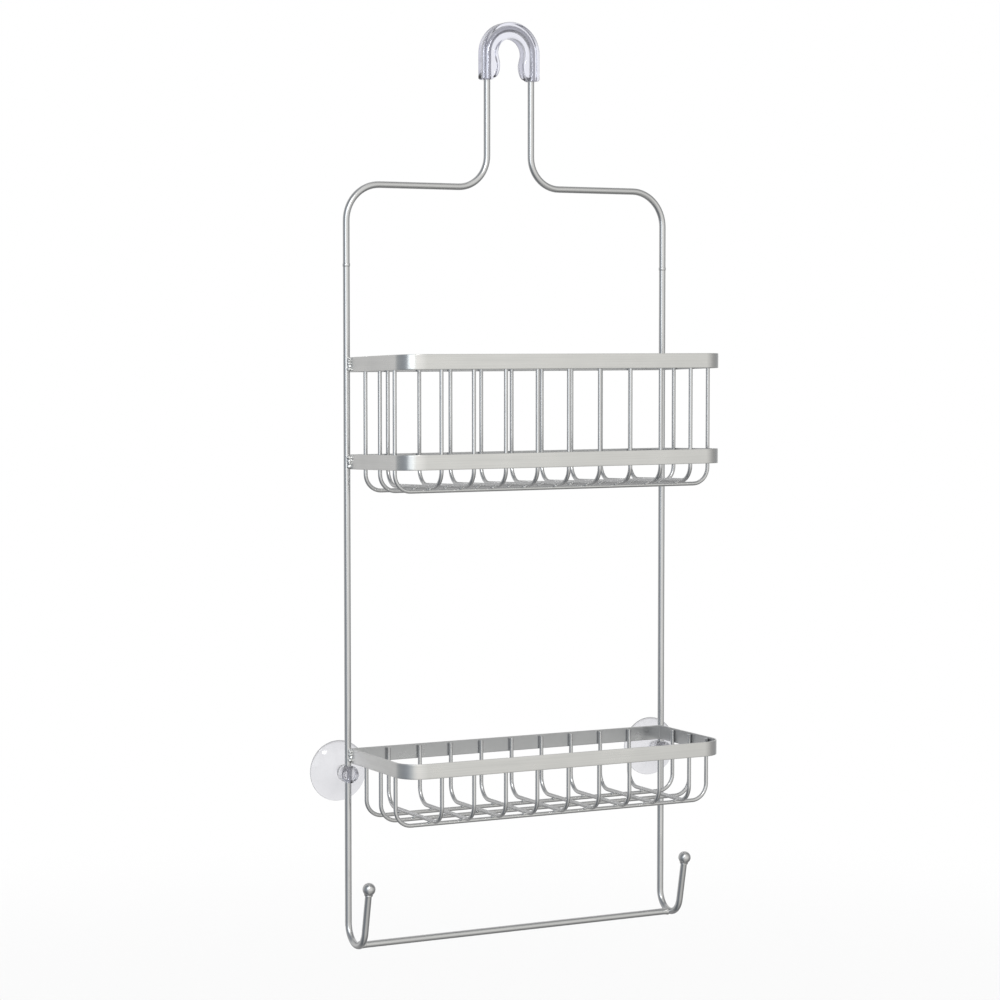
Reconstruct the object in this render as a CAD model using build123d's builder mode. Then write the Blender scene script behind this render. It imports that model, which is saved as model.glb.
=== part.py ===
from build123d import *
import os
from math import asin, atan2, cos, degrees, hypot, radians, sin, sqrt

# Over-the-arm shower caddy: a bent wire frame with a clear grip that hangs on a shower arm,
# two wire baskets edged with flat bands, a towel bar, two ball-ended hooks and two suction
# cups threaded on the legs. Millimetres. +Z is up, +Y is towards the wall, +X is to the right
# as seen by the person in the shower. The origin is the axis of the shower arm, in the grip,
# in the plane of the frame wire. "Drop" is a distance below that axis.

# ---------------------------------------------------------------- driving dimensions
# frame
frame_wire_d = 4.8
leg_spacing = 260.4            # centre to centre
arm_opening_d = 22.0           # in the grip
neck_wall = 7.1                # from the arm's opening out to the neck wire's centreline
neck_spacing = arm_opening_d + 2 * neck_wall    # also the diameter of the loop over the arm
shoulder_drop = 96.9
neck_bend_radius = 23.0        # centreline
shoulder_bend_radius = 26.0    # centreline
leg_joint_drop = 154.2         # where the hanger is butt-welded to the legs

# hooks and towel bar
hook_bottom_drop = 639.3       # centreline of the lowest point
hook_radius = 14.4             # centreline
hook_lean = 12.0               # degrees that the tip leans away from upright
hook_tip_length = 33.6         # straight wire from the bend to the centre of the ball
hook_ball_d = 9.2
hook_ball_seat = 1.4           # the wire stops this far short of the ball's centre
hook_ball_neck_d = 6.2
hook_ball_neck_length = 1.5

# grip
grip_depth = 11.0
grip_wall = 4.8                # from the wire's centreline to the outside
grip_tail = 19.2               # how far the grip reaches below the arm's axis
grip_lip_drop = 8.2
grip_lip_radius = 3.2
grip_lip_bite = 1.55           # each lip reaches this far in past the arm's opening
grip_throat = arm_opening_d - 2 * grip_lip_bite
grip_lip_blend = 2.0           # radius where a lip runs into the wall
grip_tail_corner = 2.5
grip_edge_radius = 1.6

# flat bands of the baskets
band_height = 10.6
band_thickness = 1.3
band_front_depth = 93.6        # from the frame's plane to the front face
band_side_inset = 1.0          # from the leg's centreline in to the band's end face
band_front_corner = 17.0       # outside radius
band_back_corner = 1.6         # outside radius

# wires of the baskets
basket_wire_d = 2.9
basket_wire_bend = 12.0        # centreline
wire_tip_gap = 1.0             # wire ends stop this far below the band's top edge
cross_wire_count = 9
cross_wire_pitch = 25.0
long_wire_count = 3
long_wire_pitch = 24.0

# upper basket: two bands
upper_band_drop = 219.6        # top edge of its top band, at the back
upper_band_spacing = 69.0      # from that edge to the top edge of its lower band
upper_depth = 91.7             # from the top band's top edge to the cross wires' centreline
upper_front_rise = 2.8         # the front stands this much higher than the back

# lower basket: one band
lower_band_drop = 499.1
lower_depth = 43.15
lower_front_rise = 0.0

# welds
weld_nugget_r = 1.9
weld_nugget_inset = 0.1        # the nugget starts this far from where leg and band touch
weld_spot_d = 3.4
weld_spot_core_d = 1.2         # the wires touch in the middle of each spot
butt_weld_length = 2.4
butt_weld_stand = 0.35
butt_weld_edge = 0.315         # rounding of the bead's edges
bar_weld_stand = 1.1

# suction cups
cup_drop = 517.6
cup_d = 44.0
cup_reach = 18.0               # from the leg's centreline to the rim
cup_wall = 1.5
cup_rim_width = 1.4
cup_hollow = 6.0               # depth of the hollow behind the rim
cup_neck_d = 8.4
cup_head_d = 12.6
cup_head_front = 6.4           # from the leg's centreline to the front of the head
cup_head_edge = 1.8
cup_hole_clearance = 0.08      # radial, running fit on the leg

# ---------------------------------------------------------------- derived sizes
wire_r = frame_wire_d / 2
rod_r = basket_wire_d / 2
leg_x = leg_spacing / 2
neck_x = neck_spacing / 2
arm_r = arm_opening_d / 2
hook_centre_z = hook_radius - hook_bottom_drop

band_half_width = leg_x - band_side_inset
# The band's rounded back corner touches the leg: their two circles are tangent.
corner_to_leg = wire_r + band_back_corner
corner_offset_x = band_side_inset + band_back_corner
band_back_y = band_back_corner - sqrt(corner_to_leg**2 - corner_offset_x**2)
band_front_y = -band_front_depth
band_depth = band_back_y - band_front_y

rod_back_y = band_back_y - band_thickness - rod_r
rod_front_y = band_front_y + band_thickness + rod_r
rod_end_x = band_half_width - band_thickness - rod_r
rod_middle_y = (rod_back_y + rod_front_y) / 2

os.makedirs("parts", exist_ok=True)


def save(part, name):
    """Label one finished piece and write it to its own STEP file."""
    part.label = name
    export_step(part, f"parts/{name}.step")


def side_sign(side):
    """-1 for the left of the caddy, +1 for the right."""
    return -1 if side == "left" else 1


# ---------------------------------------------------------------- frame wires
with BuildPart() as hanger_wire:
    with BuildLine(Plane.XZ) as hanger_path:
        FilletPolyline(
            (-leg_x, -leg_joint_drop),
            (-leg_x, -shoulder_drop),
            (-neck_x, -shoulder_drop),
            (-neck_x, 0),
            radius=[shoulder_bend_radius, neck_bend_radius],
        )
        CenterArc((0, 0), neck_x, 180, -180)
        FilletPolyline(
            (neck_x, 0),
            (neck_x, -shoulder_drop),
            (leg_x, -shoulder_drop),
            (leg_x, -leg_joint_drop),
            radius=[neck_bend_radius, shoulder_bend_radius],
        )
    with BuildSketch(Plane(origin=(-leg_x, 0, -leg_joint_drop), z_dir=(0, 0, 1))):
        Circle(wire_r)
    sweep(path=hanger_path.wire())
save(hanger_wire.part, "hanger_wire")


def hook_point(distance_past_bend):
    """A point on the straight tip of a hook, as (y, z)."""
    lean = radians(hook_lean)
    bend_y = -hook_radius - hook_radius * cos(lean)
    bend_z = hook_centre_z - hook_radius * sin(lean)
    return (bend_y - distance_past_bend * sin(lean), bend_z + distance_past_bend * cos(lean))


def leg_wire(side):
    """One leg: straight down from the butt weld, forward round the hook and up to the ball."""
    x = side_sign(side) * leg_x
    with BuildPart() as leg:
        with BuildLine(Plane.YZ.offset(x)) as leg_path:
            Line((0, -leg_joint_drop), (0, hook_centre_z))
            CenterArc((-hook_radius, hook_centre_z), hook_radius, 0, hook_lean - 180)
            Line(hook_point(0), hook_point(hook_tip_length - hook_ball_seat))
        with BuildSketch(Plane(origin=(x, 0, -leg_joint_drop), z_dir=(0, 0, -1))):
            Circle(wire_r)
        sweep(path=leg_path.wire())
    return leg.part


def hook_ball(side, leg):
    """A ball with a short neck, closed over the end of the hook's wire."""
    x = side_sign(side) * leg_x
    centre_y, centre_z = hook_point(hook_tip_length)
    lean = radians(hook_lean)
    tip_plane = Plane(origin=(x, centre_y, centre_z), x_dir=(1, 0, 0), z_dir=(0, -sin(lean), cos(lean)))
    neck_start = sqrt((hook_ball_d / 2) ** 2 - (hook_ball_neck_d / 2) ** 2)
    neck_root = 0.5
    with BuildPart() as ball:
        with Locations(tip_plane):
            Sphere(hook_ball_d / 2)
        with Locations(tip_plane.offset(neck_root - neck_start - hook_ball_neck_length / 2)):
            Cylinder(hook_ball_neck_d / 2, hook_ball_neck_length + 2 * neck_root)
        add(leg, mode=Mode.SUBTRACT)
    return ball.part


legs = {}
for side in ("left", "right"):
    legs[side] = leg_wire(side)
    save(legs[side], f"{side}_leg_wire")
    save(hook_ball(side, legs[side]), f"{side}_hook_ball")

with BuildPart() as leg_butt_welds:
    with Locations((-leg_x, 0, -leg_joint_drop), (leg_x, 0, -leg_joint_drop)):
        Cylinder(wire_r + butt_weld_stand, butt_weld_length)
    fillet(leg_butt_welds.edges().filter_by(GeomType.CIRCLE), butt_weld_edge)
    with Locations((-leg_x, 0, -leg_joint_drop), (leg_x, 0, -leg_joint_drop)):
        Cylinder(wire_r, butt_weld_length * 2, mode=Mode.SUBTRACT)
save(leg_butt_welds.part, "leg_butt_welds")

# ---------------------------------------------------------------- towel bar
# The bar runs between the lowest points of the two hooks, its ends coped to fit round them.
along_x = Plane(origin=(0, -hook_radius, -hook_bottom_drop), z_dir=(1, 0, 0))
with BuildPart() as towel_bar:
    with Locations(along_x):
        Cylinder(wire_r, leg_spacing)
    for side in ("left", "right"):
        add(legs[side], mode=Mode.SUBTRACT)
save(towel_bar.part, "towel_bar")

with BuildPart() as towel_bar_welds:
    for side in ("left", "right"):
        with Locations(along_x.offset(side_sign(side) * (leg_x - wire_r))):
            Sphere(wire_r + bar_weld_stand)
    for cut in (legs["left"], legs["right"], towel_bar.part):
        add(cut, mode=Mode.SUBTRACT)
save(towel_bar_welds.part, "towel_bar_welds")

# ---------------------------------------------------------------- grip over the shower arm
# One clear moulding: a sleeve over the loop of the hanger, filled in to a round opening for the
# arm, with two lips that the arm is pressed past.
grip_half_width = neck_x + grip_wall
sleeve_inside = neck_x - grip_wall
lip_x = grip_throat / 2 + grip_lip_radius
with BuildPart() as hook_grip:
    with BuildSketch(Plane.XZ.offset(-grip_depth / 2)) as grip_face:
        Circle(grip_half_width)
        with Locations((0, -grip_tail / 2)):
            Rectangle(2 * grip_half_width, grip_tail)
        with Locations((0, -grip_tail - grip_half_width)):
            Rectangle(4 * grip_half_width, 2 * grip_half_width, mode=Mode.SUBTRACT)
        Circle(arm_r, mode=Mode.SUBTRACT)
        with Locations((0, -grip_half_width)):
            Rectangle(2 * arm_r, 2 * grip_half_width, mode=Mode.SUBTRACT)
        with Locations((0, -grip_lip_drop - grip_half_width)):
            Rectangle(2 * sleeve_inside, 2 * grip_half_width, mode=Mode.SUBTRACT)
        with Locations((-lip_x, -grip_lip_drop), (lip_x, -grip_lip_drop)):
            Circle(grip_lip_radius)
        fillet(grip_face.vertices().group_by(Axis.Y)[0], grip_tail_corner)
        above_tail = 1.2 * grip_tail_corner - grip_tail
        below_arm = -grip_edge_radius
        lip_corners = grip_face.vertices().filter_by_position(Axis.Y, above_tail, below_arm)
        fillet(lip_corners, grip_lip_blend)
    extrude(amount=grip_depth)
    outline = hook_grip.faces().filter_by(Axis.Y).edges()
    fillet(outline, grip_edge_radius)
    add(hanger_wire.part, mode=Mode.SUBTRACT)
save(hook_grip.part, "hook_grip")


# ---------------------------------------------------------------- baskets
def band(back_top_z, front_rise):
    """A flat band bent into a closed rounded rectangle, its front raised by front_rise."""
    rise_angle = atan2(front_rise, band_depth)
    edge_plane = Plane(
        origin=(0, band_back_y, back_top_z),
        x_dir=(1, 0, 0),
        z_dir=(0, sin(rise_angle), cos(rise_angle)),
    )
    slope_depth = hypot(band_depth, front_rise)
    with BuildPart() as ring:
        with BuildSketch(edge_plane) as outline:
            with Locations((0, -slope_depth / 2)):
                Rectangle(2 * band_half_width, slope_depth)
            fillet(outline.vertices().group_by(Axis.Y)[0], band_front_corner)
            fillet(outline.vertices().group_by(Axis.Y)[-1], band_back_corner)
            offset(amount=-band_thickness, mode=Mode.SUBTRACT)
        extrude(amount=band_height, dir=(0, 0, -1))
    return ring.part


def rise_at(y, front_rise):
    """How much higher than at the back wires a basket is at depth y."""
    return front_rise * (rod_back_y - y) / (rod_back_y - rod_front_y)


def cross_wire(x, top_z, floor_z, front_rise):
    """A front-to-back U wire at x; the heights are those of its back end."""
    with BuildPart() as rod:
        with BuildLine(Plane.YZ.offset(x)) as rod_path:
            FilletPolyline(
                (rod_back_y, top_z),
                (rod_back_y, floor_z),
                (rod_front_y, floor_z + front_rise),
                (rod_front_y, top_z + front_rise),
                radius=basket_wire_bend,
            )
        with BuildSketch(Plane(origin=(x, rod_back_y, top_z), z_dir=(0, 0, -1))):
            Circle(rod_r)
        sweep(path=rod_path.wire())
    return rod.part


def long_wire(y, top_z, floor_z):
    """A side-to-side U wire at depth y."""
    with BuildPart() as rod:
        with BuildLine(Plane.XZ.offset(-y)) as rod_path:
            FilletPolyline(
                (-rod_end_x, top_z),
                (-rod_end_x, floor_z),
                (rod_end_x, floor_z),
                (rod_end_x, top_z),
                radius=basket_wire_bend,
            )
        with BuildSketch(Plane(origin=(-rod_end_x, y, top_z), z_dir=(0, 0, -1))):
            Circle(rod_r)
        sweep(path=rod_path.wire())
    return rod.part


def centred(count, pitch):
    """Evenly spaced positions about 0."""
    return [(i - (count - 1) / 2) * pitch for i in range(count)]


def basket_wires(name, top_z, depth, front_rise):
    """Build and save the cross wires, the long wires under them and the weld spots between."""
    floor_z = top_z - depth
    rise_angle = atan2(front_rise, rod_back_y - rod_front_y)
    layer_step = basket_wire_d / cos(rise_angle)
    tip_z = top_z - wire_tip_gap
    cross_wires = []
    for number, x in enumerate(centred(cross_wire_count, cross_wire_pitch), 1):
        rod = cross_wire(x, tip_z, floor_z, front_rise)
        cross_wires.append((x, rod))
        save(rod, f"{name}_cross_wire_{number}")
    long_wires = []
    for number, step in enumerate(centred(long_wire_count, long_wire_pitch), 1):
        y = rod_middle_y - step
        rise = rise_at(y, front_rise)
        rod = long_wire(y, tip_z + rise, floor_z - layer_step + rise)
        long_wires.append((y, rod))
        save(rod, f"{name}_long_wire_{number}")
    with BuildPart() as spots:
        for y, long_rod in long_wires:
            touch_z = floor_z - layer_step / 2 + rise_at(y, front_rise)
            with Locations([(x, y, touch_z) for x, _ in cross_wires]):
                Cylinder(weld_spot_d / 2, rod_r)
                Cylinder(weld_spot_core_d / 2, rod_r, mode=Mode.SUBTRACT)
        for _, rod in cross_wires + long_wires:
            add(rod, mode=Mode.SUBTRACT)
    save(spots.part, f"{name}_grid_welds")


def leg_welds(bands, top_drops):
    """A nugget in the notch at the front and outside of each leg and band corner."""
    corner_offset_y = sqrt(corner_to_leg**2 - corner_offset_x**2)
    contact_share = wire_r / corner_to_leg
    notch_reach = weld_nugget_r + weld_nugget_inset
    inward = corner_offset_x * contact_share - corner_offset_y / corner_to_leg * notch_reach
    forward = corner_offset_y * contact_share + corner_offset_x / corner_to_leg * notch_reach
    with BuildPart() as nuggets:
        for drop in top_drops:
            middle_z = -drop - band_height / 2
            with Locations((inward - leg_x, -forward, middle_z), (leg_x - inward, -forward, middle_z)):
                Sphere(weld_nugget_r)
        for cut in bands + [legs["left"], legs["right"]]:
            add(cut, mode=Mode.SUBTRACT)
    return nuggets.part


upper_lower_band_drop = upper_band_drop + upper_band_spacing
upper_basket_top_band = band(-upper_band_drop, upper_front_rise)
upper_basket_lower_band = band(-upper_lower_band_drop, upper_front_rise)
lower_basket_band = band(-lower_band_drop, lower_front_rise)
save(upper_basket_top_band, "upper_basket_top_band")
save(upper_basket_lower_band, "upper_basket_lower_band")
save(lower_basket_band, "lower_basket_band")

basket_wires("upper_basket", -upper_band_drop, upper_depth, upper_front_rise)
basket_wires("lower_basket", -lower_band_drop, lower_depth, lower_front_rise)

save(
    leg_welds([upper_basket_top_band, upper_basket_lower_band], [upper_band_drop, upper_lower_band_drop]),
    "upper_basket_leg_welds",
)
save(leg_welds([lower_basket_band], [lower_band_drop]), "lower_basket_leg_welds")


# ---------------------------------------------------------------- suction cups
def suction_cup(side):
    """A clear cup: a hollow disc facing the wall, a neck, and a head with a hole for the leg."""
    x = side_sign(side) * leg_x
    cup_r = cup_d / 2
    neck_r = cup_neck_d / 2
    head_r = cup_head_d / 2
    hollow_r = cup_r - cup_rim_width
    dome_y = cup_reach - cup_hollow - cup_wall
    dome_sag = 0.3             # height of the dome's middle, as a share of its rise
    hollow_sag = 0.75          # depth of the hollow half way out, as a share of its middle
    with BuildPart() as cup:
        with BuildSketch(Plane((x, 0, -cup_drop))) as half:
            with BuildLine():
                Polyline(
                    (0, cup_reach - cup_hollow),
                    (0, -cup_head_front),
                    (head_r, -cup_head_front),
                    (head_r, cup_head_front),
                    (neck_r, cup_head_front),
                    (neck_r, dome_y),
                )
                ThreePointArc(
                    (neck_r, dome_y),
                    ((neck_r + cup_r) / 2, dome_y + dome_sag * (cup_reach - cup_wall - dome_y)),
                    (cup_r, cup_reach - cup_wall),
                )
                Line((cup_r, cup_reach - cup_wall), (cup_r, cup_reach))
                Line((cup_r, cup_reach), (hollow_r, cup_reach))
                ThreePointArc(
                    (hollow_r, cup_reach),
                    ((hollow_r + neck_r) / 2, cup_reach - hollow_sag * cup_hollow),
                    (neck_r, cup_reach - cup_hollow),
                )
                Line((neck_r, cup_reach - cup_hollow), (0, cup_reach - cup_hollow))
            make_face()
            head_edges = half.vertices().filter_by_position(Axis.X, head_r - 0.1, head_r + 0.1)
            fillet(head_edges, cup_head_edge)
        revolve(axis=Axis((x, 0, -cup_drop), (0, 1, 0)))
        with Locations((x, 0, -cup_drop)):
            Cylinder(wire_r + cup_hole_clearance, 2 * cup_head_d, mode=Mode.SUBTRACT)
    return cup.part


for side in ("left", "right"):
    save(suction_cup(side), f"{side}_suction_cup")
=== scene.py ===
import math

import bpy
import numpy as np
from bpy.props import FloatProperty, FloatVectorProperty, IntProperty, PointerProperty
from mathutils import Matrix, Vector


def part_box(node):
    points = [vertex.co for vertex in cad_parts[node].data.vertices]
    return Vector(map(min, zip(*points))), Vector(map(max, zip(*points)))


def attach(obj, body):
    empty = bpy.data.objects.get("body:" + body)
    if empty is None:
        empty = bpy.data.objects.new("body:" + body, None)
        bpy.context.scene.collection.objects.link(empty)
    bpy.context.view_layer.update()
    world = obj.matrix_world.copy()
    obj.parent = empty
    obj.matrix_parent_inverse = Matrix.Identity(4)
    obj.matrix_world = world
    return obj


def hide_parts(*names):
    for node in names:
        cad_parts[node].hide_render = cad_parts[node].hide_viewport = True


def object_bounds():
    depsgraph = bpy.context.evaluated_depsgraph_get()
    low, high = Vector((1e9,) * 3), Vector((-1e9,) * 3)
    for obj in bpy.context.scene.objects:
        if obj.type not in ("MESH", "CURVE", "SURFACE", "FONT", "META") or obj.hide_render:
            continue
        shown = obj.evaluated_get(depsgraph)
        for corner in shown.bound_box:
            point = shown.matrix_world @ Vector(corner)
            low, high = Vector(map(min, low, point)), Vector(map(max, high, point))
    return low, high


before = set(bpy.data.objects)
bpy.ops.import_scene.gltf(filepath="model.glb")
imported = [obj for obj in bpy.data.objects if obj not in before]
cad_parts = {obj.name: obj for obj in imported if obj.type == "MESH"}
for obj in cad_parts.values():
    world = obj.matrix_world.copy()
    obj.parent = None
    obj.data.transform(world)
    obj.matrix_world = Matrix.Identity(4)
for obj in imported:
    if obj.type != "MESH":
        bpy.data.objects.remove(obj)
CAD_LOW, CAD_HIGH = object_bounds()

bl_info = {
    "name": "Wire shower caddy",
    "version": (1, 0, 0),
    "blender": (4, 5, 0),
    "location": "3D View > Sidebar > Caddy",
    "description": "Builds a two-basket wire shower caddy round its packed frame",
    "category": "Add Mesh",
}

# +Z is up, +Y is towards the wall, +X is to the right of a person in the shower, and the origin
# is the middle of the grip's opening, where the shower arm passes. Everything is in metres.

MM = 0.001
SIDES = (("left", -1.0), ("right", 1.0))
X, Y, Z = np.eye(3)
QUARTER = math.pi / 2

BALL_SEAT = 1.4 * MM  # a hook's wire stops this far short of the centre of its ball
BALL_FIT = 0.02 * MM  # gap between a ball's bore and the wire in it
WELD_SPOT = (1.75 * MM, 1.75 * MM, 0.75 * MM)  # half sizes of a weld where basket wires cross

BASKETS = (("upper_basket", "upper_basket_top_band"), ("lower_basket", "lower_basket_band"))
BANDS = ("upper_basket_top_band", "upper_basket_lower_band", "lower_basket_band")
CROSS_WIRES = range(1, 10)
LONG_WIRES = range(1, 4)

# What reflections see, by bearing in degrees: 0 is in front of the caddy, 90 at its left.
PANELS = (
    (-180.0, (0.50, 0.50, 0.51)),
    (-135.0, (0.72, 0.72, 0.72)),
    (-105.0, (0.34, 0.35, 0.36)),
    (-75.0, (0.36, 0.36, 0.36)),
    (-45.0, (0.62, 0.62, 0.61)),
    (-27.0, (0.84, 0.84, 0.82)),
    (0.0, (0.92, 0.92, 0.91)),
    (20.0, (1.0, 0.985, 0.965)),
    (36.0, (0.86, 0.87, 0.86)),
    (52.0, (0.48, 0.51, 0.54)),
    (72.0, (0.30, 0.33, 0.37)),
    (95.0, (0.29, 0.31, 0.34)),
    (122.0, (0.34, 0.36, 0.38)),
    (150.0, (0.66, 0.66, 0.66)),
    (180.0, (0.50, 0.50, 0.51)),
)
# How the panels dim from straight down (0) to straight up (1).
PANEL_HEIGHTS = (
    (0.0, (0.46, 0.46, 0.46)),
    (0.25, (0.60, 0.60, 0.60)),
    (0.46, (1.0, 1.0, 1.0)),
    (0.6, (1.0, 1.0, 1.0)),
    (0.78, (0.92, 0.92, 0.92)),
    (1.0, (0.85, 0.85, 0.85)),
)
# What the clear pieces let through, by share of a turn from behind (0) round the front (0.5).
BACKDROP = (
    (0.0, (1.0, 1.0, 1.0)),
    (0.16, (1.0, 1.0, 1.0)),
    (0.24, (0.5, 0.5, 0.55)),
    (0.5, (0.72, 0.72, 0.76)),
    (0.76, (0.42, 0.42, 0.47)),
    (0.84, (1.0, 1.0, 1.0)),
    (1.0, (1.0, 1.0, 1.0)),
)


def low(node):
    """The lowest corner of a CAD node, as an array."""
    return np.array(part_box(node)[0])


def high(node):
    """The highest corner of a CAD node, as an array."""
    return np.array(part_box(node)[1])


FRAME_WIRE_R = float(high("left_leg_wire")[0] - low("left_leg_wire")[0]) / 2


# ---------------------------------------------------------------- sizes and colours
def length(name, description, default):
    """A length property in metres."""
    return FloatProperty(
        name=name, description=description, default=default, min=0.0, unit="LENGTH", precision=5
    )


def angle(name, description, degrees):
    """An angle property, given in degrees."""
    return FloatProperty(
        name=name, description=description, default=math.radians(degrees), unit="ROTATION"
    )


def share(name, description, default):
    """A property from 0 to 1."""
    return FloatProperty(name=name, description=description, default=default, min=0.0, max=1.0)


def amount(name, description, default, least=0.0):
    """A plain number with a lower limit."""
    return FloatProperty(name=name, description=description, default=default, min=least)


def count(name, description, default):
    """A number of mesh columns."""
    return IntProperty(name=name, description=description, default=default, min=8)


def colour(name, description, default):
    """A linear RGB colour property."""
    return FloatVectorProperty(
        name=name, description=description, default=default, size=3, min=0.0, max=1.0, subtype="COLOR"
    )


class CaddyFrameSizes(bpy.types.PropertyGroup):
    """Bends and small parts of the hanging frame."""

    wire_radius: length("Wire radius", "Radius of the frame's wire", FRAME_WIRE_R)
    shoulder_drop: length(
        "Shoulder drop", "From the arm's axis down to the level run of the hanger", 96.9 * MM
    )
    neck_bend: length("Neck bend", "Centreline radius where the neck meets the shoulder", 23.0 * MM)
    shoulder_bend: length(
        "Shoulder bend", "Centreline radius where the shoulder meets the leg", 26.0 * MM
    )
    hook_radius: length("Hook radius", "Centreline radius of the hooks", 14.4 * MM)
    hook_lean: angle("Hook lean", "How far a hook's tip leans from upright", 12.0)
    hook_tip: length("Hook tip", "Straight wire from the bend to the centre of the ball", 33.6 * MM)
    ball_radius: length("Ball radius", "Radius of the balls on the hooks", 4.6 * MM)
    ball_neck_radius: length("Ball neck radius", "Radius of the collar under a ball", 3.1 * MM)
    weld_height: length("Weld height", "How far the butt welds stand out of the wire", 0.35 * MM)
    around: count("Sides round a wire", "Mesh columns round each frame wire", 32)


class CaddyBasketSizes(bpy.types.PropertyGroup):
    """The flat bands and the wires of the two baskets."""

    band_height: length("Band height", "Height of each flat band", 10.6 * MM)
    band_thickness: length("Band thickness", "Thickness of each flat band", 1.3 * MM)
    band_edge: length("Band edge", "Rounding of a band's long edges", 0.34 * MM)
    front_corner: length("Front corner", "Outside radius of a band's front corners", 17.0 * MM)
    back_corner: length("Back corner", "Outside radius of a band's back corners", 1.6 * MM)
    wire_radius: length("Basket wire radius", "Radius of the cross and long wires", 1.45 * MM)
    wire_bend: length("Basket wire bend", "Centreline radius of the wires' bends", 12.0 * MM)
    tip_gap: length("Tip gap", "The wires stop this far below a band's top edge", 1.0 * MM)
    upper_depth: length(
        "Upper depth", "From the top edge down to the upper basket's cross wires", 91.7 * MM
    )
    lower_depth: length(
        "Lower depth", "From the top edge down to the lower basket's cross wires", 43.15 * MM
    )
    around: count("Sides round a wire", "Mesh columns round each basket wire", 20)


class CaddyClearSizes(bpy.types.PropertyGroup):
    """The clear grip over the arm and the clear suction cups."""

    arm_radius: length("Arm radius", "Radius of the opening for the shower arm", 11.0 * MM)
    lip_drop: length("Lip drop", "How far the grip's lips lie below the arm's axis", 8.2 * MM)
    throat: length("Throat", "Gap between the lips", 18.9 * MM)
    sleeve_inside: length("Sleeve inside", "Half the width between the tails", 13.3 * MM)
    grip_edge: length("Grip edge", "Rounding of the grip's outline", 1.6 * MM)
    cup_neck: length("Cup neck", "Radius of a cup's neck", 4.2 * MM)
    cup_head: length("Cup head", "Radius of a cup's head", 6.3 * MM)
    cup_head_length: length("Cup head length", "Length of a cup's head", 12.8 * MM)
    cup_wall: length("Cup wall", "Thickness at a cup's rim", 1.5 * MM)
    cup_hollow: length("Cup hollow", "Depth of a cup's hollow", 6.0 * MM)
    cup_clearance: length("Cup clearance", "Gap round the leg in a cup's hole", 0.08 * MM)


class CaddyFinish(bpy.types.PropertyGroup):
    """Colours and roughness of the materials."""

    wire_light: colour("Wire, light", "Satin wire where it is polished", (0.735, 0.735, 0.73))
    wire_dark: colour("Wire, dark", "Satin wire between the brush lines", (0.685, 0.686, 0.688))
    wire_roughness: share("Wire roughness", "Average roughness of the wire", 0.24)
    band_light: colour("Band, light", "Brushed band where it is polished", (0.83, 0.825, 0.805))
    band_dark: colour("Band, dark", "Brushed band between the brush lines", (0.765, 0.762, 0.745))
    # Painted shade: a darker colour laid on the bands' inner faces, where shade falls.
    band_inside_shade: colour("Band, inside", "Inner faces of the bands", (0.60, 0.605, 0.61))
    band_roughness: share("Band roughness", "Average roughness of the bands", 0.3)
    weld_light: colour("Weld, light", "Bright metal of the welds", (0.95, 0.95, 0.94))
    # Painted shade: this dark colour goes where the weld's bump sinks.
    weld_hollow_shade: colour("Weld, dark", "Darkened metal of the welds", (0.22, 0.225, 0.24))
    vinyl: colour("Vinyl", "Tint of the clear grip", (0.80, 0.81, 0.90))
    vinyl_haze: colour("Vinyl haze", "Paler streaks in the clear grip", (0.88, 0.88, 0.94))
    cup: colour("Cup", "Tint of the clear cups", (0.76, 0.76, 0.79))
    cup_haze: colour("Cup haze", "Paler clouding in the clear cups", (0.86, 0.86, 0.885))


class CaddyStudio(bpy.types.PropertyGroup):
    """Floor, light and camera."""

    floor_gap: length("Floor gap", "From the lowest point down to the floor", 0.3)
    floor_radius: length("Floor radius", "Where the floor has faded out", 2.6)
    floor_share: share("Floor share", "Opacity of the floor below the object", 0.3)
    floor_colour: colour("Floor colour", "Pale colour of the floor", (0.995, 0.995, 0.995))
    camera_distance: length("Camera distance", "From the aim point to the camera", 2.029)
    camera_azimuth: angle("Camera azimuth", "Turn of the camera round the caddy", -27.5)
    camera_elevation: angle("Camera elevation", "Height of the camera above level", 3.41)
    camera_lens: amount("Camera lens", "Focal length in millimetres", 99.67, 1.0)
    aim: FloatVectorProperty(
        name="Aim",
        description="Point that the camera looks at",
        default=(-0.0074, 0.0, -0.3245),
        size=3,
        subtype="TRANSLATION",
    )
    key_energy: amount("Left light", "Power of the left soft light in watts", 2.0)
    top_energy: amount("Top light", "Power of the top soft light in watts", 2.4)


# ---------------------------------------------------------------- surfaces
def bent_path(moves, arc_step=math.radians(6.0), support=0.0005):
    """A flat path that starts at (0, 0) heading along +a. Each move is (run, radius, turn): a straight
    run, then an arc of that radius that turns left by turn, or right when it is negative. Returns
    the points and the headings, one row each. Straight runs get one extra point near each end."""
    at = np.zeros(2)
    heading = 0.0
    points = [at[None, :].copy()]
    headings = [np.array([0.0])]
    for run, radius, turn in moves:
        ahead = np.array([math.cos(heading), math.sin(heading)])
        if run > 0.0:
            near = min(support, run / 4)
            steps = np.array([near, run - near, run])
            points.append(at + steps[:, None] * ahead)
            headings.append(np.full(3, heading))
            at = at + run * ahead
        if turn:
            steps = max(4, int(math.ceil(abs(turn) / arc_step)))
            side = math.copysign(1.0, turn)
            centre = at + side * radius * np.array([-ahead[1], ahead[0]])
            bearing = heading + np.linspace(0.0, turn, steps + 1)[1:]
            arc = centre + side * radius * np.stack([np.sin(bearing), -np.cos(bearing)], axis=1)
            points.append(arc)
            headings.append(bearing)
            at = arc[-1]
            heading += turn
    return np.concatenate(points), np.concatenate(headings)


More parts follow.
